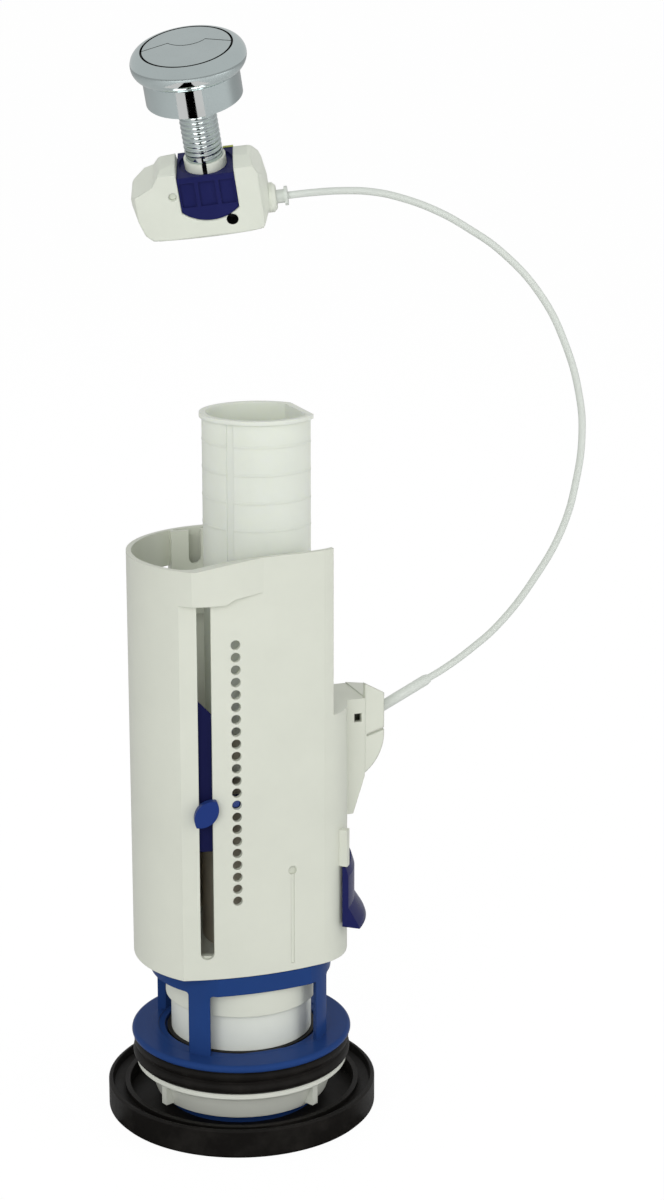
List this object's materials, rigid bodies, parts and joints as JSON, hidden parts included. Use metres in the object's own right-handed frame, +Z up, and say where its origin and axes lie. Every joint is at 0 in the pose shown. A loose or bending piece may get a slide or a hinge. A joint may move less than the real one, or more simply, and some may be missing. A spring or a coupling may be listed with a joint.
{
  "type": "toilet flush valve",
  "caption": "Dual-flush toilet cistern valve with overflow tube, volume adjusters, cable lever and a cable-linked chrome push button.",
  "frame": {"origin": "centre of the outlet at the underside of the pan gasket", "axes": "+Z up along the valve's axis, -Y out of the slotted front panel, +X towards the cable lever"},
  "size_m": [0.1903, 0.1149, 0.4192],
  "materials": {
    "rubber": "matt moulded rubber",
    "nut_plastic": "moulded plastic",
    "base_plastic": "glossy moulded plastic",
    "casing_plastic": "satin moulded plastic",
    "stem_plastic": "moulded plastic",
    "inside_plastic": "dark moulded plastic",
    "tube_plastic": "milky moulded plastic",
    "navy_plastic": "glossy moulded plastic",
    "knob_plastic": "glossy moulded plastic",
    "steel": "drawn wire",
    "brass": "turned",
    "ferrule_plastic": "moulded plastic",
    "cable_plastic": "extruded plastic",
    "box_plastic": "satin moulded plastic",
    "lime_plastic": "moulded plastic",
    "chrome_plate": "bright chrome plating on plastic",
    "button_plate": "bright chrome plating on plastic"
  },
  "bodies": {
    "valve_body": {"pan_gasket": "rubber", "back_nut": "nut_plastic", "cistern_seal": "rubber", "base_basket": "base_plastic", "guide_plate": "casing_plastic", "casing": "casing_plastic", "cable_anchor": "casing_plastic", "lever_pin": "steel", "lower_ferrule": "ferrule_plastic", "cable_sheath": "cable_plastic", "upper_ferrule": "ferrule_plastic", "actuator_body": "box_plastic", "stem_clip": "navy_plastic", "lock_tab": "lime_plastic", "stem_collar": "box_plastic", "crank_pin": "box_plastic", "button_housing": "chrome_plate", "full_button_spring": "steel", "half_button_spring": "steel"},
    "valve_stem": {"valve_plunger": "stem_plastic", "flap_seal": "rubber", "seal_retainer": "stem_plastic", "stem_socket": "inside_plastic", "lift_collar": "stem_plastic"},
    "overflow": {"overflow_tube": "tube_plastic"},
    "float": {"main_float": "inside_plastic"},
    "half_adjuster": {"half_flush_adjuster": "navy_plastic", "adjuster_knob": "knob_plastic", "adjuster_peg": "knob_plastic"},
    "shutter": {"flush_shutter": "navy_plastic"},
    "lever": {"lift_lever": "stem_plastic"},
    "lower_cable": {"lower_wire": "steel", "lower_nipple": "brass"},
    "upper_cable": {"upper_wire": "steel", "upper_nipple": "brass"},
    "crank": {"bell_crank": "lime_plastic"},
    "full_button": {"full_flush_button": "button_plate", "full_push_rod": "stem_plastic"},
    "half_button": {"half_flush_button": "button_plate", "half_push_rod": "stem_plastic"}
  },
  "joints": [
    {"name": "stem_lift", "type": "slide", "parent": "valve_body", "child": "valve_stem", "axis": [0, 0, 1], "range_m": [0, 0.01]},
    {"name": "overflow_adjust", "type": "slide", "parent": "valve_stem", "child": "overflow", "axis": [0, 0, 1], "range_m": [-0.035, 0]},
    {"name": "float_rise", "type": "slide", "parent": "valve_body", "child": "float", "axis": [0, 0, 1], "range_m": [0, 0.025]},
    {"name": "adjuster_slide", "type": "slide", "parent": "valve_body", "child": "half_adjuster", "axis": [0, 0, 1], "range_m": [-0.0384, 0.0624]},
    {"name": "shutter_slide", "type": "slide", "parent": "valve_body", "child": "shutter", "axis": [0, 0, 1], "range_m": [-0.01, 0]},
    {"name": "lever_turn", "type": "hinge", "parent": "valve_body", "child": "lever", "pos_m": [0.045, 0, 0.145], "axis": [0, 1, 0], "range_deg": [0, 37.8]},
    {"name": "lower_pull", "type": "slide", "parent": "valve_body", "child": "lower_cable", "axis": [0.8988, 0, 0.4384], "range_m": [0, 0.00375]},
    {"name": "upper_pull", "type": "slide", "parent": "valve_body", "child": "upper_cable", "axis": [-0.9242, 0.3622, -0.1208], "range_m": [0, 0.00375]},
    {"name": "crank_turn", "type": "hinge", "parent": "valve_body", "child": "crank", "pos_m": [-0.00974, 0.04411, 0.36053], "axis": [0.2955, 0.8788, 0.3747], "range_deg": [0, 19.1]},
    {"name": "full_press", "type": "slide", "parent": "valve_body", "child": "full_button", "axis": [0.2418, 0.3106, -0.9193], "range_m": [0, 0.00401], "stiffness_N_per_m": 300, "springref_m": -0.003, "deforming": ["full_button_spring"]},
    {"name": "half_press", "type": "slide", "parent": "valve_body", "child": "half_button", "axis": [0.2418, 0.3106, -0.9193], "range_m": [0, 0.004], "stiffness_N_per_m": 300, "springref_m": -0.003, "deforming": ["half_button_spring"]}
  ],
  "couplings": [
    {"joint": "lever_turn", "follows": "stem_lift", "rad_per_m": 65.78},
    {"joint": "lower_pull", "follows": "stem_lift", "ratio": 0.37201},
    {"joint": "upper_pull", "follows": "stem_lift", "ratio": 0.37201},
    {"joint": "crank_turn", "follows": "stem_lift", "rad_per_m": 33.206},
    {"joint": "full_press", "follows": "stem_lift", "ratio": 0.4}
  ]
}
